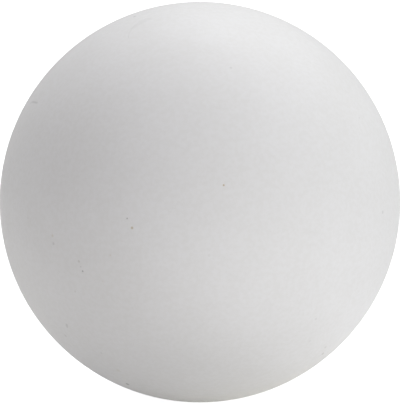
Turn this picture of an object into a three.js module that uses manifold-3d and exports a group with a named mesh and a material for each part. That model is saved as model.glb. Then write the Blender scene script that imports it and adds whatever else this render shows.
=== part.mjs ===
// Cue ball for a coin-operated pool table, built up from its separate pieces.
//
// The core is moulded from heavy filled resin with blind sockets all round it, and a steel slug
// is bonded into each one. The steel lets the table's ball return tell the cue ball from the
// object balls. A pin of shell resin then holds the core in the middle of a larger mould, where
// the white shell is cast round it. Grinding leaves the pin's end flush with the ball.
//
// Millimetres, +Z up. The origin is the ball's centre, and the pin is at the bottom.

import * as THREE from 'three';
import { mergeVertices, toCreasedNormals } from 'three/addons/utils/BufferGeometryUtils.js';
import Module from 'manifold-3d';

const wasm = await Module();
wasm.setup();

// Driving dimensions.
const BALL_DIAMETER = 57.15; // 2 1/4 in, the pool standard
const CORE_DIAMETER = 44;
const BOND_GAP = 0.3; // between any two pieces that are cast or bonded together

const SLUG_DIAMETER = 4;
const SLUG_LENGTH = 8;
const SLUG_CHAMFER = 0.4;
const SLUG_RECESS = 0.5; // how far a slug's outer end lies below the core's surface

const PIN_DIAMETER = 4;
const PIN_SOCKET_DEPTH = 4;
const OVERRUN = 2; // how far a cutting rod runs past the surface it opens

// Facets. A ball is an icosahedron with each edge split evenly. An even number of splits puts a
// vertex on every axis, so that the ball measures its full diameter along X, Y and Z.
const SHELL_SPLITS = 14;
const CORE_SPLITS = 10;
const SOCKET_SIDES = 24;
const SLUG_SIDES = 16;
const CREASE_ANGLE = THREE.MathUtils.degToRad(30);

// Sizes that follow from the driving dimensions.
const BALL_RADIUS = BALL_DIAMETER / 2;
const CORE_RADIUS = CORE_DIAMETER / 2;
const SLUG_OUTER_END = CORE_RADIUS - SLUG_RECESS;
const SLUG_INNER_END = SLUG_OUTER_END - SLUG_LENGTH;
const SLUG_SOCKET_DIAMETER = SLUG_DIAMETER + 2 * BOND_GAP;
const SLUG_SOCKET_FLOOR = SLUG_INNER_END - BOND_GAP;
const PIN_BORE_DIAMETER = PIN_DIAMETER + 2 * BOND_GAP;
const PIN_SOCKET_FLOOR = CORE_RADIUS - PIN_SOCKET_DEPTH;
const PIN_INNER_END = PIN_SOCKET_FLOOR + BOND_GAP;

const ROD_AXIS = new THREE.Vector3(0, 1, 0); // three.js rods and lathed pieces stand along Y
const DOWN = new THREE.Vector3(0, 0, -1);

const SHELL_RESIN = { color: 0xf1f0ec, roughness: 0.35, metalness: 0 };
const CORE_RESIN = { color: 0x6f6c66, roughness: 0.7, metalness: 0 };
const SLUG_STEEL = { color: 0xb4b6b9, roughness: 0.35, metalness: 1 };

// Turns a closed three.js geometry into a solid that can be joined and cut.
function toSolid(geometry) {
  geometry.deleteAttribute('normal');
  geometry.deleteAttribute('uv');
  const welded = mergeVertices(geometry);
  return new wasm.Manifold(
    new wasm.Mesh({
      numProp: 3,
      vertProperties: welded.getAttribute('position').array,
      triVerts: new Uint32Array(welded.index.array),
    }),
  );
}

// Turns a solid back into a three.js geometry, smooth on the round faces and sharp at the rims.
function toGeometry(solid) {
  const { vertProperties, triVerts } = solid.getMesh();
  const geometry = new THREE.BufferGeometry();
  geometry.setAttribute('position', new THREE.BufferAttribute(vertProperties, 3));
  geometry.setIndex(new THREE.BufferAttribute(triVerts, 1));
  return toCreasedNormals(geometry, CREASE_ANGLE);
}

function ball(radius, splits) {
  return toSolid(new THREE.IcosahedronGeometry(radius, splits - 1));
}

// A round rod that points away from the ball's centre, from one distance out to another.
function radialRod(diameter, direction, innerEnd, outerEnd) {
  const radius = diameter / 2;
  const length = outerEnd - innerEnd;
  const geometry = new THREE.CylinderGeometry(radius, radius, length, SOCKET_SIDES);
  geometry.translate(0, innerEnd + length / 2, 0);
  geometry.applyQuaternion(new THREE.Quaternion().setFromUnitVectors(ROD_AXIS, direction));
  return toSolid(geometry);
}

// The corners of an icosahedron: twelve directions spread evenly over the ball. They lie in
// opposite pairs, so the slugs balance each other, and the bottom falls between two of them.
function slugDirections() {
  const goldenRatio = (1 + Math.sqrt(5)) / 2;
  const directions = [];
  for (const short of [-1, 1]) {
    for (const long of [-goldenRatio, goldenRatio]) {
      directions.push(new THREE.Vector3(0, short, long).normalize());
      directions.push(new THREE.Vector3(short, long, 0).normalize());
      directions.push(new THREE.Vector3(long, 0, short).normalize());
    }
  }
  return directions;
}

function pieceMesh(name, geometry, finish) {
  const mesh = new THREE.Mesh(geometry, new THREE.MeshStandardMaterial(finish));
  mesh.name = name;
  return mesh;
}

// The white playing surface: a ball with a round cavity for the core, open at the pin's bore.
function outerShell() {
  const cavity = ball(CORE_RADIUS + BOND_GAP, CORE_SPLITS);
  const bore = radialRod(PIN_BORE_DIAMETER, DOWN, CORE_RADIUS - OVERRUN, BALL_RADIUS + OVERRUN);
  const shell = ball(BALL_RADIUS, SHELL_SPLITS).subtract(cavity).subtract(bore);
  return pieceMesh('outer_shell', toGeometry(shell), SHELL_RESIN);
}

// The pin stands in the core's lower socket and ends in the ball's own round surface.
function locatingPin() {
  const blank = radialRod(PIN_DIAMETER, DOWN, PIN_INNER_END, BALL_RADIUS + OVERRUN);
  const pin = blank.intersect(ball(BALL_RADIUS, SHELL_SPLITS));
  return pieceMesh('locating_pin', toGeometry(pin), SHELL_RESIN);
}

// The core, with a blind socket for each slug and one for the pin.
function innerCore(directions) {
  const mouth = CORE_RADIUS + OVERRUN;
  let core = ball(CORE_RADIUS, CORE_SPLITS);
  for (const direction of directions) {
    core = core.subtract(radialRod(SLUG_SOCKET_DIAMETER, direction, SLUG_SOCKET_FLOOR, mouth));
  }
  core = core.subtract(radialRod(PIN_BORE_DIAMETER, DOWN, PIN_SOCKET_FLOOR, mouth));
  return pieceMesh('inner_core', toGeometry(core), CORE_RESIN);
}

// One slug: a short steel rod with both ends chamfered.
function steelSlug(name, direction) {
  const radius = SLUG_DIAMETER / 2;
  const profile = [
    new THREE.Vector2(0, 0),
    new THREE.Vector2(radius - SLUG_CHAMFER, 0),
    new THREE.Vector2(radius, SLUG_CHAMFER),
    new THREE.Vector2(radius, SLUG_LENGTH - SLUG_CHAMFER),
    new THREE.Vector2(radius - SLUG_CHAMFER, SLUG_LENGTH),
    new THREE.Vector2(0, SLUG_LENGTH),
  ];
  const slug = pieceMesh(name, new THREE.LatheGeometry(profile, SLUG_SIDES), SLUG_STEEL);
  slug.quaternion.setFromUnitVectors(ROD_AXIS, direction);
  slug.position.copy(direction).multiplyScalar(SLUG_INNER_END);
  return slug;
}

const directions = slugDirections();

const slugs = new THREE.Group();
directions.forEach((direction, index) => {
  const number = String(index + 1).padStart(2, '0');
  slugs.add(steelSlug(`steel_slug_${number}`, direction));
});

const cueBall = new THREE.Group();
cueBall.add(outerShell());
cueBall.add(locatingPin());
cueBall.add(innerCore(directions));
cueBall.add(slugs);

export default cueBall;
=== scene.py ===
"""A white cue ball for a coin-operated pool table, dressed and lit in a small studio.

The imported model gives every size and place. The outer shell, the pin, the core and the steel
slugs are rebuilt here as fine meshes on the same centre, with the small pits and specks that a
used ball picks up, and each one gets a finish of its own. Everything is in metres, with +Z up
and the origin at the ball's centre.
"""

import logging
import math
import random
from dataclasses import dataclass, field
from enum import Enum
from typing import Callable, Iterable, Sequence

import bmesh
import bpy
import numpy as np
from bmesh.types import BMesh
from bpy.types import Material, Mesh, Node, NodeSocket, NodeTree, Object
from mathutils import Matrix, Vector


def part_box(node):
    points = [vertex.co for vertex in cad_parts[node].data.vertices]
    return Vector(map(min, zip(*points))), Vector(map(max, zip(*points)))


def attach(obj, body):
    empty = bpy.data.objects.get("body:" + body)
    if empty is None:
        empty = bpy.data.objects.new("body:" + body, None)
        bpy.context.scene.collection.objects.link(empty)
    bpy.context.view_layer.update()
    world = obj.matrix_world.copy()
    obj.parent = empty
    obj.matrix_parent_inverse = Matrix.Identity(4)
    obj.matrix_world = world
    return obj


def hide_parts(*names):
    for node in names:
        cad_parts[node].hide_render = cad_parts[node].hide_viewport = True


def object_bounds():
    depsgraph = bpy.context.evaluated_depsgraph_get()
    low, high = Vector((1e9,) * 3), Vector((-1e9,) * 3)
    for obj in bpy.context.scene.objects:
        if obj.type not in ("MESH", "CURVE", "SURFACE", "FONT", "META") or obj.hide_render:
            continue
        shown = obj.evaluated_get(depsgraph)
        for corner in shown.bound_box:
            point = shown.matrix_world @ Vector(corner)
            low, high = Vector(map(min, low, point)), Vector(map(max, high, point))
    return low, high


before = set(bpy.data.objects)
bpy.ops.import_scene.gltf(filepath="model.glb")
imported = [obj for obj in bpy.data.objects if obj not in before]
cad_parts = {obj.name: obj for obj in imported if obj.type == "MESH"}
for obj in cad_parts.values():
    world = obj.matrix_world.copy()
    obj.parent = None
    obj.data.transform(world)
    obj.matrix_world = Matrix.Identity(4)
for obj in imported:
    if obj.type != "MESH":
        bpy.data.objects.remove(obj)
cad_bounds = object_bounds()

log = logging.getLogger("cue_ball")

MM = 0.001
UP = Vector((0.0, 0.0, 1.0))
BODY = "root"
Colour = tuple[float, float, float]

# Points of a turned solid that lie nearer together than this become one point.
WELD = 1e-7
# Steps round the pin and its bore, and round the slugs and their sockets.
PIN_SIDES = 96
SLUG_SIDES = 64
# Length of the shell's edges in a pit and in a scratch, as a share of the mark's width.
PIT_STEP = 0.16
SCRATCH_STEP = 0.5
# Distance that stands for "nowhere near the mark".
FAR = 1e6
# The shell's vertex values: how much dirt there is, and how brown it is.
GRIME, BROWN = "grime", "brown"
# Degrees between two faces from which the edge between them is sharp.
WHITE_CREASE = 40.0
INNER_CREASE = 30.0


# --- Named options ---


class Grime(Enum):
    """What fills a pit, as how far its colour leans from grey towards rust brown."""

    SOOT = 0.0
    DUST = 0.35
    RUST = 1.0


class Slot(Enum):
    """The material slots that the pieces stand for, listed with each piece but not applied here.
    """

    SHELL = "shell_resin"
    CORE = "core_resin"
    SLUG = "slug_steel"


# --- Geometry helpers ---


def heading(azimuth: float, elevation: float) -> Vector:
    """Gives the unit vector of a direction from the ball's centre.

    Args:
        azimuth: Degrees round from the front, -Y, towards the right-hand side, +X.
        elevation: Degrees above the ball's equator.

    Returns:
        The direction as a unit vector.
    """
    turn, rise = math.radians(azimuth), math.radians(elevation)
    level = math.cos(rise)
    return Vector((math.sin(turn) * level, -math.cos(turn) * level, math.sin(rise)))


def smooth_fall(distance: np.ndarray, edge: float) -> np.ndarray:
    """Gives a mask that falls smoothly from 1 to 0 over an edge round a distance of 1."""
    t = np.clip((1.0 + edge / 2 - distance) / edge, 0.0, 1.0)
    return t * t * (3.0 - 2.0 * t)


def mesh_object(name: str, bm: BMesh) -> Object:
    """Makes a smooth-shaded object from a bmesh and puts it in the scene.

    Args:
        name: Name of the object and its mesh.
        bm: The mesh, which is freed.

    Returns:
        The new object.
    """
    mesh = bpy.data.meshes.new(name)
    bm.to_mesh(mesh)
    bm.free()
    mesh.shade_smooth()
    made = bpy.data.objects.new(name, mesh)
    bpy.context.scene.collection.objects.link(made)
    return made


def icosphere(radius: float, subdivisions: int) -> BMesh:
    """Makes a ball of near-equal triangles, centred on the origin."""
    bm = bmesh.new()
    bmesh.ops.create_icosphere(bm, subdivisions=subdivisions, radius=radius)
    return bm


def lathe(profile: Sequence[tuple[float, float]], sides: int, axis: Vector) -> BMesh:
    """Turns a profile about an axis through the ball's centre into a closed solid.

    Args:
        profile: Pairs of radius and distance from the centre, from the inner end to the outer.
        sides: Number of steps round the axis.
        axis: Unit vector along the axis.

    Returns:
        The turned solid.
    """
    bm = bmesh.new()
    points = [bm.verts.new((radius, 0.0, height)) for radius, height in profile]
    edges = [bm.edges.new(pair) for pair in zip(points, points[1:])]
    bmesh.ops.spin(
        bm, geom=points + edges, axis=UP, cent=(0.0, 0.0, 0.0), dvec=(0.0, 0.0, 0.0),
        angle=math.tau, steps=sides, use_merge=True,
    )
    bmesh.ops.remove_doubles(bm, verts=bm.verts, dist=WELD)
    bmesh.ops.recalc_face_normals(bm, faces=bm.faces)
    bm.transform(axis.to_track_quat("Z", "Y").to_matrix().to_4x4())
    return bm


def carve(target: Object, cutter_meshes: Iterable[BMesh]) -> None:
    """Cuts solids out of a target.

    Args:
        target: The object that is cut.
        cutter_meshes: Closed solids that don't touch each other, which are freed.
    """
    joined = bmesh.new()
    for part in cutter_meshes:
        passing = bpy.data.meshes.new("part")
        part.to_mesh(passing)
        part.free()
        joined.from_mesh(passing)
        bpy.data.meshes.remove(passing)
    cutter = mesh_object("cutter", joined)
    cut = target.modifiers.new("carve", "BOOLEAN")
    cut.operation = "DIFFERENCE"
    cut.solver = "MANIFOLD"
    cut.object = cutter
    graph = bpy.context.evaluated_depsgraph_get()
    carved = bpy.data.meshes.new_from_object(target.evaluated_get(graph))
    target.modifiers.remove(cut)
    blank, target.data = target.data, carved
    for spare in (blank, cutter.data):
        bpy.data.meshes.remove(spare)
    carved.name = target.name
    carved.materials.clear()
    carved.shade_smooth()


# Tells, from the middles and the lengths of edges, which of them are too long.
EdgeTest = Callable[[np.ndarray, np.ndarray], np.ndarray]


@dataclass
class RoundNet:
    """A closed net of triangles on a sphere, which can be made finer in places.

    Attributes:
        radius: Radius of the sphere.
        places: The net's points, one row each.
        faces: The three points of each triangle, one row each.
    """

    radius: float
    places: np.ndarray
    faces: np.ndarray

    @classmethod
    def even(cls, radius: float, subdivisions: int) -> "RoundNet":
        """Makes a net of near-equal triangles."""
        bm = icosphere(radius, subdivisions)
        places = np.array([vertex.co[:] for vertex in bm.verts])
        faces = np.array([[vertex.index for vertex in face.verts] for face in bm.faces])
        bm.free()
        return cls(radius, places, faces)

    def split(self, is_coarse: EdgeTest) -> None:
        """Halves the longest edges of coarse triangles until none is too long."""
        while self._split_once(is_coarse):
            pass

    def _split_once(self, is_coarse: EdgeTest) -> bool:
        """Halves each edge that is too long, once, and tells whether there was one."""
        faces, count = self.faces, len(self.places)
        ends = np.stack([faces, np.roll(faces, -1, axis=1)], axis=2)
        keys = ends.min(axis=2) * count + ends.max(axis=2)
        unique, edge_of = np.unique(keys, return_inverse=True)
        edge_of = edge_of.reshape(faces.shape)
        first, second = self.places[unique // count], self.places[unique % count]
        middles, lengths = (first + second) / 2, np.linalg.norm(first - second, axis=1)
        marked = is_coarse(middles, lengths)
        if not marked.any():
            return False
        longest = lengths[edge_of].argmax(axis=1)
        rows = np.arange(len(faces))
        before = 0
        while before != marked.sum():
            before = marked.sum()
            touched = marked[edge_of].any(axis=1)
            marked[edge_of[rows[touched], longest[touched]]] = True

        # A triangle's longest edge runs from a to b, and m, n and p halve ab, bc and ca.
        fresh = np.cumsum(marked) - 1 + count
        middles = middles[marked]
        middles *= self.radius / np.linalg.norm(middles, axis=1)[:, None]
        self.places = np.vstack([self.places, middles])
        order = (longest[:, None] + np.arange(3)) % 3
        a, b, c = np.take_along_axis(faces, order, axis=1).T
        halved = np.take_along_axis(marked[edge_of], order, axis=1).T
        m, n, p = fresh[np.take_along_axis(edge_of, order, axis=1)].T
        near, far = halved[0] & halved[2], halved[0] & halved[1]
        pieces = (
            (~halved[0], (a, b, c)),
            (halved[0] & ~halved[2], (a, m, c)),
            (near, (a, m, p)),
            (near, (p, m, c)),
            (halved[0] & ~halved[1], (m, b, c)),
            (far, (m, b, n)),
            (far, (m, n, c)),
        )
        self.faces = np.vstack([np.stack(corners, axis=1)[kept] for kept, corners in pieces])
        return True


@dataclass(frozen=True)
class RadialRod:
    """The place of a round rod that points away from the ball's centre.

    Attributes:
        direction: Unit vector along the rod, away from the centre.
        inner: Distance from the centre to the rod's inner end.
        outer: Distance from the centre to its outer end.
        radius: The rod's radius.
    """

    direction: Vector
    inner: float
    outer: float
    radius: float

    @classmethod
    def of_node(cls, node: str) -> "RadialRod":
        """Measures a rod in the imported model.

        Args:
            node: Name of the rod's node.

        Returns:
            The rod's direction, ends and radius.
        """
        low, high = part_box(node)
        direction = ((low + high) / 2).normalized()
        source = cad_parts[node]
        points = [source.matrix_world @ vertex.co for vertex in source.data.vertices]
        reaches = [point.dot(direction) for point in points]
        offsets = [(p - direction * r).length for p, r in zip(points, reaches)]
        return cls(direction, min(reaches), max(reaches), max(offsets))


# --- Shared shader effects ---


class NodeSheet:
    """A node tree with short ways to add and join nodes.

    Attributes:
        tree: The node tree that is being filled.
    """

    def __init__(self, tree: NodeTree) -> None:
        """Starts on an empty tree."""
        self.tree = tree
        tree.nodes.clear()

    def add(self, kind: str, **settings: object) -> Node:
        """Adds a node.

        Args:
            kind: The node's type, such as "ShaderNodeMath".
            **settings: Properties of the node, set by name.

        Returns:
            The new node.
        """
        node = self.tree.nodes.new(kind)
        for name, value in settings.items():
            setattr(node, name, value)
        return node

    def feed(self, socket: NodeSocket, value: object) -> None:
        """Joins a socket to an output, or sets its own value."""
        if isinstance(value, NodeSocket):
            self.tree.links.new(value, socket)
        else:
            socket.default_value = value

    def math(self, operation: str, *values: object, clamp: bool = False) -> NodeSocket:
        """Adds a math node on these values and returns its output."""
        node = self.add("ShaderNodeMath", operation=operation, use_clamp=clamp)
        for socket, value in zip(node.inputs, values):
            self.feed(socket, value)
        return node.outputs[0]

    def mix(
        self, share: object, first: object, second: object, blend: str = "MIX", kind: str = "RGBA"
    ) -> NodeSocket:
        """Adds a mix from the first colour or number to the second and returns its output."""
        node = self.add("ShaderNodeMix", data_type=kind, blend_type=blend)
        self.feed(node.inputs["Factor"], share)
        self.feed(node.inputs["A"], first)
        self.feed(node.inputs["B"], second)
        return node.outputs["Result"]

    def spread(
        self, value: object, low: float, high: float, to_low: object = 0.0, to_high: object = 1.0
    ) -> NodeSocket:
        """Adds a smooth map range that stops at its ends and returns its output."""
        node = self.add("ShaderNodeMapRange", interpolation_type="SMOOTHSTEP")
        for name, number in (
            ("Value", value), ("From Min", low), ("From Max", high),
            ("To Min", to_low), ("To Max", to_high),
        ):
            self.feed(node.inputs[name], number)
        return node.outputs["Result"]

    def pool(self, place: object, middle: Vector, reach: float) -> NodeSocket:
        """Makes a mask that falls smoothly from 1 at a point to 0 at a distance from it."""
        away = self.add("ShaderNodeVectorMath", operation="DISTANCE")
        self.feed(away.inputs[0], place)
        away.inputs[1].default_value = middle
        return self.spread(away.outputs["Value"], 0.0, reach, 1.0, 0.0)

    def noise(self, place: object, scale: object, detail: float) -> NodeSocket:
        """Adds a noise texture and returns its value."""
        node = self.add("ShaderNodeTexNoise")
        self.feed(node.inputs["Vector"], place)
        self.feed(node.inputs["Scale"], scale)
        node.inputs["Detail"].default_value = detail
        return node.outputs[0]


def group_sheet(
    name: str, inputs: dict[str, str], outputs: dict[str, str]
) -> tuple[NodeSheet, Node, Node]:
    """Starts a shader node group.

    Args:
        name: Name of the group.
        inputs: Socket type of each input, by name.
        outputs: Socket type of each output, by name.

    Returns:
        The sheet to build on, the group's input node and its output node.
    """
    tree = bpy.data.node_groups.new(name, "ShaderNodeTree")
    for side, sockets in (("INPUT", inputs), ("OUTPUT", outputs)):
        for label, kind in sockets.items():
            tree.interface.new_socket(label, in_out=side, socket_type=kind)
    sheet = NodeSheet(tree)
    return sheet, sheet.add("NodeGroupInput"), sheet.add("NodeGroupOutput")


FLOAT, VECTOR, COLOUR = "NodeSocketFloat", "NodeSocketVector", "NodeSocketColor"

# A noise's mean value, and the values between which each effect goes from none to full: the
# clouds and grain, the haze, and the patches of surface that have hairlines.
NOISE_MEAN = 0.5
MOTTLE_RANGE = (0.3, 0.7)
HAZE_RANGE = (0.35, 0.65)
SCRATCHED_RANGE = (0.5, 0.62)
SCRATCHED_SCALE = 220.0


class Effects:
    """The node groups that more than one material uses, each built once.

    Attributes:
        mottle: Cloudy colour variation.
        hairlines: Thin scratches.
        haze: Patches of a duller polish.
    """

    def __init__(self) -> None:
        """Builds every group."""
        self.mottle = self._mottle()
        self.hairlines = self._hairlines()
        self.haze = self._haze()

    @staticmethod
    def _mottle() -> NodeTree:
        """Cloudy colour variation at a broad and a fine scale."""
        sheet, given, result = group_sheet(
            "mottle",
            {
                "Place": VECTOR,
                "Light": COLOUR,
                "Dark": COLOUR,
                "Cloud Scale": FLOAT,
                "Grain Scale": FLOAT,
                "Grain Share": FLOAT,
            },
            {"Color": COLOUR, "Value": FLOAT},
        )
        cloud = sheet.noise(given.outputs["Place"], given.outputs["Cloud Scale"], detail=5.0)
        cloud = sheet.spread(cloud, *MOTTLE_RANGE)
        grain = sheet.noise(given.outputs["Place"], given.outputs["Grain Scale"], detail=2.0)
        grain = sheet.spread(grain, *MOTTLE_RANGE)
        value = sheet.mix(given.outputs["Grain Share"], cloud, grain, kind="FLOAT")
        colour = sheet.mix(value, given.outputs["Light"], given.outputs["Dark"])
        sheet.feed(result.inputs["Color"], colour)
        sheet.feed(result.inputs["Value"], value)
        return sheet.tree

    @staticmethod
    def _hairlines() -> NodeTree:
        """Thin, gently curved scratches that come and go over the surface."""
        sheet, given, result = group_sheet(
            "hairlines",
            {"Place": VECTOR, "Stretch": VECTOR, "Scale": FLOAT, "Width": FLOAT},
            {"Mask": FLOAT},
        )
        squeezed = sheet.add("ShaderNodeVectorMath", operation="MULTIPLY")
        sheet.feed(squeezed.inputs[0], given.outputs["Place"])
        sheet.feed(squeezed.inputs[1], given.outputs["Stretch"])
        ridges = sheet.noise(squeezed.outputs[0], given.outputs["Scale"], detail=0.0)
        away = sheet.math("ABSOLUTE", sheet.math("SUBTRACT", ridges, NOISE_MEAN))
        line = sheet.math(
            "SUBTRACT", 1.0, sheet.math("DIVIDE", away, given.outputs["Width"]), clamp=True
        )
        patches = sheet.noise(given.outputs["Place"], SCRATCHED_SCALE, detail=1.0)
        shown = sheet.spread(patches, *SCRATCHED_RANGE)
        sheet.feed(result.inputs["Mask"], sheet.math("MULTIPLY", line, shown))
        return sheet.tree

    @staticmethod
    def _haze() -> NodeTree:
        """Soft patches where handling has dulled a polish."""
        sheet, given, result = group_sheet(
            "haze",
            {"Place": VECTOR, "Scale": FLOAT, "Low": FLOAT, "High": FLOAT},
            {"Value": FLOAT},
        )
        cloud = sheet.noise(given.outputs["Place"], given.outputs["Scale"], detail=4.0)
        value = sheet.spread(cloud, *HAZE_RANGE, given.outputs["Low"], given.outputs["High"])
        sheet.feed(result.inputs["Value"], value)
        return sheet.tree


def new_material(name: str) -> tuple[Material, NodeSheet, Node]:
    """Starts a material with one Principled shader.

    Args:
        name: Name of the material.

    Returns:
        The material, the sheet to build on and the shader.
    """
    material = bpy.data.materials.new(name)
    material.use_nodes = True
    sheet = NodeSheet(material.node_tree)
    shader = sheet.add("ShaderNodeBsdfPrincipled")
    surface = sheet.add("ShaderNodeOutputMaterial")
    sheet.feed(surface.inputs["Surface"], shader.outputs["BSDF"])
    return material, sheet, shader


def place_group(
    sheet: NodeSheet, tree: NodeTree, **values: object
) -> Node:
    """Adds a node group to a sheet.

    Args:
        sheet: The sheet that gets the group.
        tree: The group's tree.
        **values: Value or output for each input, named with _ for a space.

    Returns:
        The group's node.
    """
    node = sheet.add("ShaderNodeGroup", node_tree=tree)
    for label, value in values.items():
        sheet.feed(node.inputs[label.replace("_", " ")], value)
    return node


def object_place(sheet: NodeSheet) -> NodeSocket:
    """Gives the point's own place in the object, in metres."""
    return sheet.add("ShaderNodeTexCoord").outputs["Object"]


def opaque(colour: Colour) -> tuple[float, float, float, float]:
    """Gives a colour in the form that a socket takes."""
    return (*colour, 1.0)


# --- Finishes ---


@dataclass(frozen=True)
class Texture:
    """How a finish varies over the surface.

    Attributes:
        cloud_scale: Scale of the broad clouds of colour.
        grain_scale: Scale of the fine grain.
        grain_share: The grain's share in the variation of the colour.
        haze_scale: Scale of the patches of duller polish.
        roughness: Roughness in the glossiest and the dullest patches.
        bump: Strength of the relief.
        depth: Depth of the relief.
    """

    cloud_scale: float
    grain_scale: float
    grain_share: float
    haze_scale: float
    roughness: tuple[float, float]
    bump: float
    depth: float

    def mottle(
        self, sheet: NodeSheet, effects: Effects, place: object, light: Colour, dark: Colour
    ) -> Node:
        """Adds the clouds and the grain, between a light and a dark colour."""
        return place_group(
            sheet, effects.mottle, Place=place, Light=opaque(light), Dark=opaque(dark),
            Cloud_Scale=self.cloud_scale, Grain_Scale=self.grain_scale,
            Grain_Share=self.grain_share,
        )

    def haze(self, sheet: NodeSheet, effects: Effects, place: object) -> NodeSocket:
        """Adds the patches of duller polish and returns their roughness."""
        low, high = self.roughness
        haze = place_group(
            sheet, effects.haze, Place=place, Scale=self.haze_scale, Low=low, High=high
        )
        return haze.outputs["Value"]

    def relief(self, sheet: NodeSheet, shader: Node, height: object) -> None:
        """Adds a bump of this height to a shader."""
        bump = sheet.add("ShaderNodeBump")
        bump.inputs["Strength"].default_value = self.bump
        bump.inputs["Distance"].default_value = self.depth
        sheet.feed(bump.inputs["Height"], height)
        sheet.feed(shader.inputs["Normal"], bump.outputs["Normal"])


@dataclass(frozen=True)
class PolishedResin:
    """White cast resin, polished once and dulled to a satin by play.

    Attributes:
        light: The resin's colour where it is clean.
        dark: Its colour in the faint clouds of the casting.
        rust: The colour of the brown specks.
        soot: The colour of the grey specks.
        texture: How the resin varies.
        gloss: Strength of its reflections.
        scratch_stretch: Scale of the hairline scratches along each axis, against the others.
        scratch_scale: Scale of the scratches.
        scratch_width: Width of the scratches, as a part of the noise that draws them.
        scratch_roughness: Roughness that a scratch adds.
        grime_roughness: Roughness that dirt adds.
    """

    light: Colour = (0.871, 0.872, 0.877)
    dark: Colour = (0.831, 0.829, 0.825)
    rust: Colour = (0.44, 0.31, 0.08)
    soot: Colour = (0.09, 0.088, 0.08)
    texture: Texture = Texture(
        cloud_scale=90.0, grain_scale=1700.0, grain_share=0.62, haze_scale=70.0,
        roughness=(0.60, 0.70), bump=0.1, depth=0.004 * MM,
    )
    gloss: float = 0.3
    scratch_stretch: tuple[float, float, float] = (1.0, 0.6, 0.12)
    scratch_scale: float = 260.0
    scratch_width: float = 0.004
    scratch_roughness: float = 0.12
    grime_roughness: float = 0.25

    def build(self, name: str, effects: Effects) -> Material:
        """Makes the material.

        Args:
            name: Name of the material.
            effects: The shared node groups.

        Returns:
            The finished material.
        """
        material, sheet, shader = new_material(name)
        place = object_place(sheet)
        cloud = self.texture.mottle(sheet, effects, place, self.light, self.dark)
        lines = place_group(
            sheet, effects.hairlines, Place=place, Stretch=self.scratch_stretch,
            Scale=self.scratch_scale, Width=self.scratch_width,
        )
        grime = sheet.add("ShaderNodeAttribute", attribute_name=GRIME).outputs["Fac"]
        brown = sheet.add("ShaderNodeAttribute", attribute_name=BROWN).outputs["Fac"]
        dirt = sheet.mix(brown, opaque(self.soot), opaque(self.rust))
        colour = sheet.mix(grime, cloud.outputs["Color"], dirt)
        sheet.feed(shader.inputs["Base Color"], colour)
        haze = self.texture.haze(sheet, effects, place)
        worn = sheet.math("MULTIPLY_ADD", lines.outputs["Mask"], self.scratch_roughness, haze)
        dirty = sheet.math("MULTIPLY_ADD", grime, self.grime_roughness, worn)
        sheet.feed(shader.inputs["Roughness"], dirty)
        self.texture.relief(sheet, shader, cloud.outputs["Value"])
        shader.inputs["Specular IOR Level"].default_value = self.gloss
        return material


@dataclass(frozen=True)
class FilledResin:
    """Grey resin heavy with mineral filler, as it leaves the mould.

    Attributes:
        light: Colour of the resin between the grains.
        dark: Colour of the darkest filler.
        fleck: Colour of the pale mineral flecks.
        texture: How the resin varies.
        fleck_scale: Scale of the flecks.
        fleck_edge: Where a fleck starts and stops fading, as parts of the distance between flecks.
    """

    light: Colour = (0.20, 0.19, 0.175)
    dark: Colour = (0.12, 0.115, 0.105)
    fleck: Colour = (0.45, 0.43, 0.39)
    texture: Texture = Texture(
        cloud_scale=160.0, grain_scale=2600.0, grain_share=0.6, haze_scale=120.0,
        roughness=(0.62, 0.82), bump=0.6, depth=0.06 * MM,
    )
    fleck_scale: float = 1500.0
    fleck_edge: tuple[float, float] = (0.1, 0.22)

    def build(self, name: str, effects: Effects) -> Material:
        """Makes the material.

        Args:
            name: Name of the material.
            effects: The shared node groups.

        Returns:
            The finished material.
        """
        material, sheet, shader = new_material(name)
        place = object_place(sheet)
        cloud = self.texture.mottle(sheet, effects, place, self.light, self.dark)
        grains = sheet.add("ShaderNodeTexVoronoi")
        sheet.feed(grains.inputs["Vector"], place)
        grains.inputs["Scale"].default_value = self.fleck_scale
        flecks = sheet.spread(grains.outputs["Distance"], *self.fleck_edge, 1.0, 0.0)
        colour = sheet.mix(flecks, cloud.outputs["Color"], opaque(self.fleck))
        sheet.feed(shader.inputs["Base Color"], colour)
        sheet.feed(shader.inputs["Roughness"], self.texture.haze(sheet, effects, place))
        grit = sheet.math("ADD", cloud.outputs["Value"], flecks)
        self.texture.relief(sheet, shader, grit)
        return material


@dataclass(frozen=True)
class TurnedSteel:
    """Plain steel bar with fine rings left by the lathe and a little handling haze.

    Attributes:
        bright: Colour of the clean metal.
        dull: Colour where it has greyed.
        texture: How the steel varies.
        ring_pitch: Distance between turning rings.
    """

    bright: Colour = (0.60, 0.60, 0.61)
    dull: Colour = (0.42, 0.41, 0.40)
    texture: Texture = Texture(
        cloud_scale=420.0, grain_scale=3800.0, grain_share=0.35, haze_scale=500.0,
        roughness=(0.28, 0.45), bump=0.4, depth=0.01 * MM,
    )
    ring_pitch: float = 0.12 * MM

    def build(self, name: str, effects: Effects, rod: RadialRod) -> Material:
        """Makes the material for one slug, with its rings square to the slug's own axis.

        Args:
            name: Name of the material.
            effects: The shared node groups.
            rod: The slug's place.

        Returns:
            The finished material.
        """
        material, sheet, shader = new_material(name)
        place = object_place(sheet)
        cloud = self.texture.mottle(sheet, effects, place, self.bright, self.dull)
        sheet.feed(shader.inputs["Base Color"], cloud.outputs["Color"])
        shader.inputs["Metallic"].default_value = 1.0
        along = sheet.add("ShaderNodeVectorMath", operation="DOT_PRODUCT")
        sheet.feed(along.inputs[0], place)
        along.inputs[1].default_value = rod.direction
        turns = sheet.math("MULTIPLY", along.outputs["Value"], math.tau / self.ring_pitch)
        sheet.feed(shader.inputs["Roughness"], self.texture.haze(sheet, effects, place))
        self.texture.relief(sheet, shader, sheet.math("SINE", turns))
        return material


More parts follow.
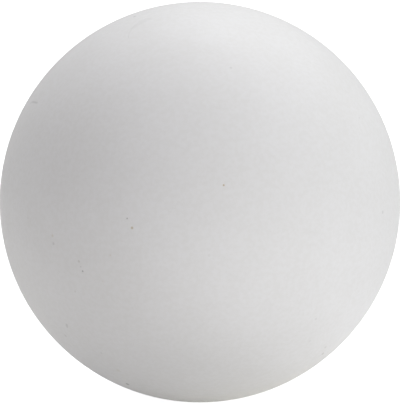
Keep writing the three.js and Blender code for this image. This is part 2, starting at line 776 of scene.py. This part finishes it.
# --- The ball's blemishes ---


@dataclass(frozen=True)
class Blemish:
    """A small pit in the polished surface, with dirt in it.

    Attributes:
        azimuth: Degrees round from the front, towards the right-hand side.
        elevation: Degrees above the ball's equator.
        width: Diameter of the pit.
        fill: How strongly the dirt hides the resin, from 0 to 1.
        grime: What the dirt is.
        stretch: Length of the pit over its width.
        lean: Degrees that a long pit leans from the horizontal.
    """

    azimuth: float
    elevation: float
    width: float
    fill: float
    grime: Grime
    stretch: float = 1.0
    lean: float = 0.0

    @property
    def middle(self) -> Vector:
        """Direction of the pit from the ball's centre."""
        return heading(self.azimuth, self.elevation)

    @property
    def finest(self) -> float:
        """Edge length that the pit is modelled with."""
        return PIT_STEP * self.width

    def distance(self, places: np.ndarray) -> np.ndarray:
        """Measures how far points on the ball lie from the pit's middle.

        Args:
            places: The points, one row each.

        Returns:
            Distances as a share of the pit's radius, which is longer along a long pit.
        """
        middle = self.middle
        side = UP.cross(middle).normalized()
        rise = middle.cross(side)
        lean = math.radians(self.lean)
        long_axis = np.array(side * math.cos(lean) + rise * math.sin(lean))
        short_axis = np.array(rise * math.cos(lean) - side * math.sin(lean))
        along = places @ long_axis / (self.width / 2 * self.stretch)
        across = places @ short_axis / (self.width / 2)
        return np.where(places @ np.array(middle) > 0, np.hypot(along, across), FAR)


@dataclass(frozen=True)
class Hairline:
    """A thin curved scratch with a trace of dirt in it.

    Attributes:
        bends: Azimuth and elevation, in degrees, of each point that the scratch runs through.
        width: Width of the scratch.
        fill: How strongly the dirt hides the resin, from 0 to 1.
        grime: What the dirt is.
    """

    bends: tuple[tuple[float, float], ...]
    width: float = 0.08 * MM
    fill: float = 0.13
    grime: Grime = Grime.SOOT

    @property
    def finest(self) -> float:
        """Edge length that the scratch is modelled with."""
        return SCRATCH_STEP * self.width

    def distance(self, places: np.ndarray) -> np.ndarray:
        """Measures how far points on the ball lie from the scratch's middle line.

        Args:
            places: The points, one row each.

        Returns:
            Distances as a share of half the scratch's width.
        """
        reaches = np.linalg.norm(places, axis=1)
        nearest = np.full(len(places), FAR)
        for start, end in zip(self.bends, self.bends[1:]):
            first, last = np.array(heading(*start)), np.array(heading(*end))
            run = last - first
            directions = places / reaches[:, None]
            share = np.clip((directions - first) @ run / (run @ run), 0.0, 1.0)
            off = directions - first - share[:, None] * run
            nearest = np.minimum(nearest, np.linalg.norm(off, axis=1) * reaches)
        return nearest / (self.width / 2)


Mark = Blemish | Hairline


@dataclass(frozen=True)
class FineSpecks:
    """Faint specks scattered evenly over the sides and the back of the ball.

    Attributes:
        count: Number of specks.
        seed: Seed of the random numbers.
        widths: Smallest and largest width, in millimetres.
        fills: How strongly the dirt hides the resin, in the faintest and the strongest speck.
        highest: Height that no speck passes, up or down, as a share of the ball's radius.
        foremost: Lowest Y of a speck's direction, since the front, -Y, has its own marks.
    """

    count: int = 36
    seed: int = 7
    widths: tuple[float, float] = (0.2, 0.34)
    fills: tuple[float, float] = (0.08, 0.4)
    highest: float = 0.98
    foremost: float = -0.15

    def scatter(self) -> list[Blemish]:
        """Draws the specks, which are the same each time."""
        dice = random.Random(self.seed)
        specks = []
        while len(specks) < self.count:
            speck = Blemish(
                azimuth=dice.uniform(-180.0, 180.0),
                elevation=math.degrees(math.asin(dice.uniform(-self.highest, self.highest))),
                width=dice.uniform(*self.widths) * MM,
                fill=dice.uniform(*self.fills),
                grime=dice.choice(list(Grime)),
            )
            if speck.middle.y > self.foremost:
                specks.append(speck)
        return specks


# --- The ball's pieces ---


def coat(piece: Object, material: Material, crease: float) -> None:
    """Gives a piece its material, and sharp edges between faces at more than an angle."""
    piece.data.materials.append(material)
    piece.data.set_sharp_from_angle(angle=math.radians(crease))


@dataclass
class Shell:
    """The white playing surface, cast round the core and open only at the pin.

    Attributes:
        radius: Radius of the ball.
        core_radius: Radius of the core that fills it.
        pin: Place of the locating pin.
        marks: The pits and scratches in the surface.
        seam: Width of the hairline left between pieces that are cast together.
        mark_depth: Depth of a mark that is full of dirt, as a share of its width.
        mark_margin: How far from a mark's middle the mesh is fine, as a share of its half width.
        grime_edge: Width of the dirt's soft edge, as a share of the mark's half width.
        overrun: How far the bore's cutter runs on at its ends, as a share of each radius.
        subdivisions: How often the outer net's triangles are split.
    """

    radius: float
    core_radius: float
    pin: RadialRod
    marks: Sequence[Mark]
    seam: float = 0.02 * MM
    mark_depth: float = 0.18
    mark_margin: float = 1.3
    grime_edge: float = 0.7
    overrun: float = 0.1
    subdivisions: int = 7

    def build(self) -> Object:
        """Makes the shell's mesh.

        Returns:
            The shell, with its cavity and bore cut and its pits marked.
        """
        outside = RoundNet.even(self.radius, self.subdivisions)
        outside.split(self._is_coarse)
        self._sink_marks(outside)
        inside = RoundNet.even(self.core_radius + self.seam, self.subdivisions - 1)
        places = np.vstack([outside.places, inside.places])
        cavity = inside.faces[:, ::-1] + len(outside.places)
        bm = bmesh.new()
        points = [bm.verts.new(place) for place in places]
        for corners in np.vstack([outside.faces, cavity]):
            bm.faces.new([points[corner] for corner in corners])
        shell = mesh_object("ball_shell", bm)
        carve(shell, [self._bore()])
        self._mark_grime(shell.data)
        return shell

    def _is_coarse(self, middles: np.ndarray, lengths: np.ndarray) -> np.ndarray:
        """Tells which edges are too long to hold the shape of a mark close by."""
        coarse = np.zeros(len(lengths), bool)
        for mark in self.marks:
            gaps = (mark.distance(middles) - self.mark_margin) * mark.width / 2
            coarse |= (gaps < lengths / 2) & (lengths > mark.finest)
        return coarse

    def _sink_marks(self, net: RoundNet) -> None:
        """Lowers the surface into each mark."""
        depth = np.zeros(len(net.places))
        for mark in self.marks:
            bowl = np.clip(1.0 - mark.distance(net.places) ** 2, 0.0, 1.0) ** 2
            depth = np.maximum(depth, bowl * mark.width * self.mark_depth * mark.fill)
        net.places *= (1.0 - depth / self.radius)[:, None]

    def _bore(self) -> BMesh:
        """Makes the cutter of the hole that the pin stands in."""
        reach = self.pin.radius + self.seam
        low, high = self.core_radius * (1.0 - self.overrun), self.radius * (1.0 + self.overrun)
        profile = ((0.0, low), (reach, low), (reach, high), (0.0, high))
        return lathe(profile, PIN_SIDES, self.pin.direction)

    def _mark_grime(self, mesh: Mesh) -> None:
        """Writes how much dirt each vertex has, and how brown it is."""
        places = np.empty(len(mesh.vertices) * 3)
        mesh.vertices.foreach_get("co", places)
        places = places.reshape(-1, 3)
        outside = np.linalg.norm(places, axis=1) > (self.radius + self.core_radius) / 2
        grime, brown = np.zeros(len(places)), np.zeros(len(places))
        for mark in self.marks:
            cover = smooth_fall(mark.distance(places), self.grime_edge) * mark.fill * outside
            brown = np.where(cover > grime, mark.grime.value, brown)
            grime = np.maximum(grime, cover)
        for name, values in ((GRIME, grime), (BROWN, brown)):
            attribute = mesh.attributes.new(name, "FLOAT", "POINT")
            attribute.data.foreach_set("value", values.astype(np.float32))

    def dress(self, shell: Object, finish: PolishedResin, effects: Effects) -> None:
        """Gives the shell its finish and sharp edges at the bore."""
        coat(shell, finish.build("white_resin", effects), WHITE_CREASE)


@dataclass
class Pin:
    """The resin pin that held the core in the mould, ground flush with the ball.

    Attributes:
        ball_radius: Radius of the ball, which the pin's outer end follows.
        rod: The pin's place.
        chamfer: Chamfer of its inner end.
        cap_steps: Steps from the rim of its outer end to the middle.
    """

    ball_radius: float
    rod: RadialRod
    chamfer: float = 0.25 * MM
    cap_steps: int = 12

    def build(self) -> Object:
        """Makes the pin's mesh."""
        rod = self.rod
        rim = math.asin(rod.radius / self.ball_radius)
        angles = [rim * (1 - step / self.cap_steps) for step in range(self.cap_steps + 1)]
        cap = [(self.ball_radius * math.sin(a), self.ball_radius * math.cos(a)) for a in angles]
        profile = (
            (0.0, rod.inner),
            (rod.radius - self.chamfer, rod.inner),
            (rod.radius, rod.inner + self.chamfer),
            *cap,
        )
        return mesh_object("flush_pin", lathe(profile, PIN_SIDES, rod.direction))

    def dress(self, pin: Object, finish: PolishedResin, effects: Effects) -> None:
        """Gives the pin the shell's finish."""
        coat(pin, finish.build("pin_resin", effects), WHITE_CREASE)


@dataclass
class Core:
    """The heavy filled core, with a blind socket for every slug and for the pin.

    Attributes:
        radius: Radius of the core.
        slugs: Places of the slugs.
        pin: Place of the pin.
        seam: Width of the hairline left round each slug.
        mouth: Width of the chamfer at each socket's mouth.
        overrun: How far a socket's cutter runs on past the core's surface.
        subdivisions: How often the net's triangles are split.
    """

    radius: float
    slugs: Sequence[RadialRod]
    pin: RadialRod
    seam: float = 0.02 * MM
    mouth: float = 0.3 * MM
    overrun: float = 1.0 * MM
    subdivisions: int = 6

    def build(self) -> Object:
        """Makes the core's mesh."""
        core = mesh_object("filled_core", icosphere(self.radius, self.subdivisions))
        carve(core, [self._socket(rod) for rod in (*self.slugs, self.pin)])
        return core

    def _socket(self, rod: RadialRod) -> BMesh:
        """Makes the cutter of one blind socket."""
        reach = rod.radius + self.seam
        floor = rod.inner - self.seam
        surface = math.sqrt(self.radius**2 - reach**2)
        profile = (
            (0.0, floor),
            (reach, floor),
            (reach, surface - self.mouth),
            (reach + self.mouth + self.overrun, surface + self.overrun),
            (0.0, surface + self.overrun),
        )
        return lathe(profile, SLUG_SIDES, rod.direction)

    def dress(self, core: Object, finish: FilledResin, effects: Effects) -> None:
        """Gives the core its finish."""
        coat(core, finish.build("filled_resin", effects), INNER_CREASE)


@dataclass
class Slug:
    """One plain steel slug with chamfered ends.

    Attributes:
        name: The slug's name.
        rod: Its place.
        chamfer: Chamfer of both ends.
    """

    name: str
    rod: RadialRod
    chamfer: float = 0.4 * MM

    def build(self) -> Object:
        """Makes the slug's mesh."""
        rod = self.rod
        narrow = rod.radius - self.chamfer
        profile = (
            (0.0, rod.inner),
            (narrow, rod.inner),
            (rod.radius, rod.inner + self.chamfer),
            (rod.radius, rod.outer - self.chamfer),
            (narrow, rod.outer),
            (0.0, rod.outer),
        )
        return mesh_object(self.name, lathe(profile, SLUG_SIDES, rod.direction))

    def dress(self, slug: Object, finish: TurnedSteel, effects: Effects) -> None:
        """Gives the slug its finish."""
        coat(slug, finish.build(f"{self.name}_steel", effects, self.rod), INNER_CREASE)


def round_radius(node: str) -> float:
    """Measures the radius of a round node."""
    low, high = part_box(node)
    return (high.x - low.x) / 2


def settle(piece: Object, node: str) -> None:
    """Fixes a piece to the ball and reports it.

    Args:
        piece: The finished piece.
        node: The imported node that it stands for.
    """
    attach(piece, BODY)
    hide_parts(node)
    log.info("%s stands for %s, %d faces", piece.name, node, len(piece.data.polygons))


@dataclass
class CueBall:
    """The whole ball.

    Attributes:
        marks: The pits and scratches that can be told apart by eye.
        specks: The fainter specks over the rest of the ball.
        effects: The node groups that its finishes share.
    """

    marks: Sequence[Mark]
    specks: FineSpecks = FineSpecks()
    effects: Effects = field(default_factory=Effects)

    def build(self) -> None:
        """Makes and dresses every piece."""
        ball_radius = round_radius("outer_shell")
        core_radius = round_radius("inner_core")
        pin_rod = RadialRod.of_node("locating_pin")
        slug_nodes = sorted(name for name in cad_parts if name.startswith("steel_slug_"))
        slug_rods = [RadialRod.of_node(node) for node in slug_nodes]

        marks = [*self.marks, *self.specks.scatter()]
        resin, steel = PolishedResin(), TurnedSteel()
        pieces = [
            (Shell(ball_radius, core_radius, pin_rod, marks), resin, "outer_shell", Slot.SHELL),
            (Pin(ball_radius, pin_rod), resin, "locating_pin", Slot.SHELL),
            (Core(core_radius, slug_rods, pin_rod), FilledResin(), "inner_core", Slot.CORE),
        ]
        for node, rod in zip(slug_nodes, slug_rods):
            pieces.append((Slug(node.replace("steel", "turned"), rod), steel, node, Slot.SLUG))
        for maker, finish, node, slot in pieces:
            piece = maker.build()
            maker.dress(piece, finish, self.effects)
            settle(piece, node)


# --- The studio ---


@dataclass(frozen=True)
class Softbox:
    """A square area light that faces the ball.

    Attributes:
        name: Name of the light.
        azimuth: Degrees round from the front, towards the right-hand side.
        elevation: Degrees above the ball.
        power: Strength in watts.
        size: Width of the light.
        distance: Distance from the ball's centre.
        colour: Colour of the light.
    """

    name: str
    azimuth: float
    elevation: float
    power: float
    size: float = 1.0
    distance: float = 1.2
    colour: Colour = (1.0, 1.0, 1.0)

    def build(self) -> None:
        """Makes the light."""
        lamp = bpy.data.lights.new(self.name, "AREA")
        lamp.shape = "SQUARE"
        lamp.size = self.size
        lamp.energy = self.power
        lamp.color = self.colour
        made = bpy.data.objects.new(self.name, lamp)
        bpy.context.scene.collection.objects.link(made)
        toward = heading(self.azimuth, self.elevation)
        made.location = toward * self.distance
        made.rotation_mode = "QUATERNION"
        made.rotation_quaternion = toward.to_track_quat("Z", "Y")
        made.visible_camera = False


@dataclass(frozen=True)
class GlowPool:
    """A round part of the floor that gives off more light than the rest.

    Attributes:
        glow: The light that it adds at its middle.
        middle: Its middle, from the ball's contact point.
        reach: How far it reaches from its middle.
    """

    glow: Colour
    middle: tuple[float, float]
    reach: float


@dataclass
class Studio:
    """A pale floor, soft lights and a camera that frames the ball.

    Attributes:
        ball_radius: Radius of the ball.
        lights: The softboxes.
        pools: Painted pools of light on the floor, which glow onto the ball's underside.
        elevation: Degrees that the camera looks down.
        distance: Distance from the camera to the ball's centre.
        fill: The ball's diameter as a share of the image's longer side.
        floor_span: Width of the floor.
        floor_squares: Squares along each side of the floor's grid.
        floor_tones: The two colours that its grain runs between.
        floor_grain: Scale of its grain.
        floor_roughness: Its roughness.
        floor_gloss: Strength of its reflections.
        glow: Light that the floor gives off.
        seen_glow: Light of the floor that only the camera sees.
        backdrop: Strength of the backdrop's light on the ball.
        seen_backdrop: Strength of the backdrop that only the camera sees.
    """

    ball_radius: float
    lights: Sequence[Softbox]
    pools: Sequence[GlowPool]
    elevation: float = 12.0
    distance: float = 0.6
    fill: float = 0.992
    floor_span: float = 2.4
    floor_squares: int = 8
    floor_tones: tuple[Colour, Colour] = ((0.79, 0.775, 0.75), (0.81, 0.795, 0.77))
    floor_grain: float = 900.0
    floor_roughness: float = 0.9
    floor_gloss: float = 0.1
    glow: Colour = (0.093, 0.097, 0.106)
    seen_glow: Colour = (0.82, 0.825, 0.85)
    backdrop: float = 0.03
    seen_backdrop: float = 1.0

    def build(self) -> None:
        """Makes everything that isn't the ball."""
        self._camera()
        self._floor()
        self._surroundings()
        for light in self.lights:
            light.build()
        scene = bpy.context.scene
        scene.view_settings.view_transform = "Standard"
        scene.view_settings.look = "None"

    def _camera(self) -> None:
        """Points a long lens at the ball, so that the ball just fills the image."""
        lens = bpy.data.cameras.new("camera")
        angular_radius = math.asin(self.ball_radius / self.distance)
        lens.lens = lens.sensor_width * self.fill / (2 * math.tan(angular_radius))
        camera = bpy.data.objects.new("camera", lens)
        bpy.context.scene.collection.objects.link(camera)
        toward = heading(0.0, self.elevation)
        camera.location = toward * self.distance
        camera.rotation_mode = "QUATERNION"
        camera.rotation_quaternion = toward.to_track_quat("Z", "Y")
        bpy.context.scene.camera = camera

    def _floor(self) -> None:
        """Lays the top of a light table under the ball."""
        bm = bmesh.new()
        squares = self.floor_squares
        bmesh.ops.create_grid(
            bm, x_segments=squares, y_segments=squares, size=self.floor_span / 2
        )
        floor = mesh_object("floor", bm)
        floor.location.z = -self.ball_radius
        material, sheet, shader = new_material("pale_floor")
        place = object_place(sheet)
        grain = sheet.noise(place, self.floor_grain, detail=2.0)
        tone = sheet.mix(grain, *(opaque(tone) for tone in self.floor_tones))
        sheet.feed(shader.inputs["Base Color"], tone)
        shader.inputs["Roughness"].default_value = self.floor_roughness
        shader.inputs["Specular IOR Level"].default_value = self.floor_gloss
        glow = opaque(self.glow)
        # Each pool paints extra light into the glow that the ball sees from the floor.
        for pool in self.pools:
            near = sheet.pool(place, Vector((*pool.middle, 0.0)), pool.reach)
            glow = sheet.mix(near, glow, opaque(pool.glow), "ADD")
        seen = sheet.add("ShaderNodeLightPath").outputs["Is Camera Ray"]
        glow = sheet.mix(seen, glow, opaque(self.seen_glow))
        sheet.feed(shader.inputs["Emission Color"], glow)
        shader.inputs["Emission Strength"].default_value = 1.0
        floor.data.materials.append(material)

    def _surroundings(self) -> None:
        """Sets a white backdrop that lights the ball only gently."""
        world = bpy.data.worlds.new("surroundings")
        world.use_nodes = True
        sheet = NodeSheet(world.node_tree)
        output = sheet.add("ShaderNodeOutputWorld")
        white = sheet.add("ShaderNodeBackground")
        seen = sheet.add("ShaderNodeLightPath").outputs["Is Camera Ray"]
        strength = sheet.mix(seen, self.backdrop, self.seen_backdrop, kind="FLOAT")
        sheet.feed(white.inputs["Strength"], strength)
        white.inputs["Color"].default_value = (1.0, 1.0, 1.0, 1.0)
        sheet.feed(output.inputs["Surface"], white.outputs[0])
        bpy.context.scene.world = world


# The marks that can be told apart by eye, from the upper left of the ball round to its right.
# A pit's row gives its azimuth, elevation, width, fill and grime.
MARKS = (
    Hairline(((-60.0, 73.0), (-62.0, 70.5), (-57.5, 67.25), (-53.0, 64.25), (-48.5, 62.25))),
    Hairline(((-56.3, 66.9), (-57.0, 69.0), (-57.3, 71.5), (-56.0, 72.5)), 0.90 * MM, 0.045),
    Blemish(-83.0, 71.0, 0.50 * MM, 0.22, Grime.SOOT),
    Hairline(((-80.2, 31.9), (-79.2, 32.6), (-76.2, 33.0), (-73.3, 33.3)), 0.28 * MM, 0.16),
    Blemish(-57.0, 2.0, 0.26 * MM, 0.08, Grime.SOOT),
    Blemish(-45.5, -1.0, 0.38 * MM, 0.17, Grime.RUST),
    Blemish(-45.25, -3.25, 0.40 * MM, 0.15, Grime.SOOT),
    Blemish(-36.0, -7.0, 0.36 * MM, 0.20, Grime.DUST),
    Blemish(-35.5, -8.5, 0.22 * MM, 0.20, Grime.SOOT),
    Blemish(-35.0, -9.75, 0.26 * MM, 0.42, Grime.SOOT),
    Blemish(-25.5, -4.0, 0.26 * MM, 0.14, Grime.RUST),
    Blemish(-28.5, -12.0, 0.30 * MM, 0.07, Grime.RUST),
    Blemish(-20.5, 6.75, 0.22 * MM, 0.36, Grime.SOOT),
    Blemish(-19.0, 4.25, 0.36 * MM, 0.44, Grime.RUST),
    Blemish(-39.0, -16.5, 0.30 * MM, 0.12, Grime.DUST),
    Blemish(-48.5, -29.75, 0.45 * MM, 0.17, Grime.SOOT, stretch=2.0, lean=60.0),
    Blemish(-53.25, -34.5, 0.44 * MM, 0.19, Grime.DUST),
    Blemish(-38.0, -38.5, 0.30 * MM, 0.15, Grime.SOOT),
    Blemish(-35.75, -46.5, 0.60 * MM, 0.10, Grime.RUST),
    Blemish(-39.5, -55.75, 0.45 * MM, 0.60, Grime.SOOT, stretch=1.2),
    Blemish(2.5, -2.75, 0.40 * MM, 0.07, Grime.DUST),
    Blemish(6.75, 16.5, 0.25 * MM, 0.62, Grime.RUST),
    Blemish(14.0, 52.0, 0.36 * MM, 0.12, Grime.SOOT),
    Blemish(38.5, -25.5, 0.42 * MM, 0.10, Grime.SOOT),
    Blemish(40.25, -34.0, 0.42 * MM, 0.08, Grime.SOOT),
    Blemish(52.5, -39.0, 0.38 * MM, 0.22, Grime.DUST),
    Blemish(55.25, -42.5, 0.32 * MM, 0.48, Grime.DUST, stretch=1.5, lean=90.0),
    Blemish(63.5, 2.5, 0.36 * MM, 0.19, Grime.SOOT, stretch=1.3, lean=90.0),
    Blemish(64.0, 30.0, 0.26 * MM, 0.11, Grime.SOOT),
)

# A light's row gives its name, azimuth, elevation and power.
LIGHTS = (
    Softbox("high_behind", 163.0, 60.0, 10.55),
    Softbox("right_front", 50.0, 25.0, 7.55, colour=(0.985, 1.0, 1.0)),
    Softbox("left", -95.0, 45.0, 1.8, colour=(0.985, 0.992, 1.0)),
    Softbox("left_behind", -125.0, 30.0, 2.35, colour=(0.985, 0.992, 1.0)),
    Softbox("front_fill", -10.0, 40.0, 2.05, colour=(1.0, 0.93, 0.98)),
)

# Painted light on the floor: a warm glow close to the ball, and a pool of glow where the
# right-hand light would fall, both lighting the ball's underside.
POOLS = (
    GlowPool((0.105, 0.097, 0.056), (14.0 * MM, -4.0 * MM), 34.0 * MM),
    GlowPool((0.132, 0.138, 0.180), (50.0 * MM, 0.0), 60.0 * MM),
)


def main() -> None:
    """Builds the studio and the ball."""
    logging.basicConfig(level=logging.INFO, format="%(message)s")
    low, high = cad_bounds
    Studio((high.x - low.x) / 2, LIGHTS, POOLS).build()
    CueBall(MARKS).build()


if __name__ == "__main__":
    main()
